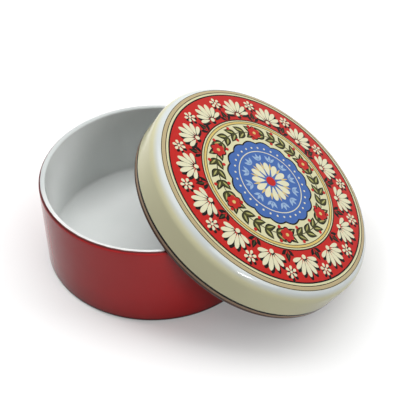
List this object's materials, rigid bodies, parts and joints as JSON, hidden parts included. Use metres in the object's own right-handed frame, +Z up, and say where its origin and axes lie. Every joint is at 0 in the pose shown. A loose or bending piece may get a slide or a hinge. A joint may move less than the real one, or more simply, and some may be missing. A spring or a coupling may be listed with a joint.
{
  "type": "camembert baker",
  "caption": "Round straight-sided porcelain dish for baking a whole soft cheese, with a slip-over lid taken off and leaning on its rim.",
  "frame": {"origin": "on the table, under the middle of the box round the dish and the leaning lid", "axes": "+Z up, +X from the dish towards the side that the lid leans to"},
  "size_m": [0.1808, 0.1364, 0.0876],
  "materials": {
    "red_glaze": "glossy red glaze outside, white glaze inside and over the rim",
    "cream_glaze": "glossy white glaze with a cream skirt and a fired-on print on the top"
  },
  "bodies": {
    "dish": {"baking_dish": "red_glaze"},
    "lid": {"lid": "cream_glaze"}
  },
  "joints": [
    {"name": "lid_lift", "type": "slide", "parent": "dish", "child": "lid", "axis": [0, 0, 1], "range_m": [0, 0.08]}
  ]
}
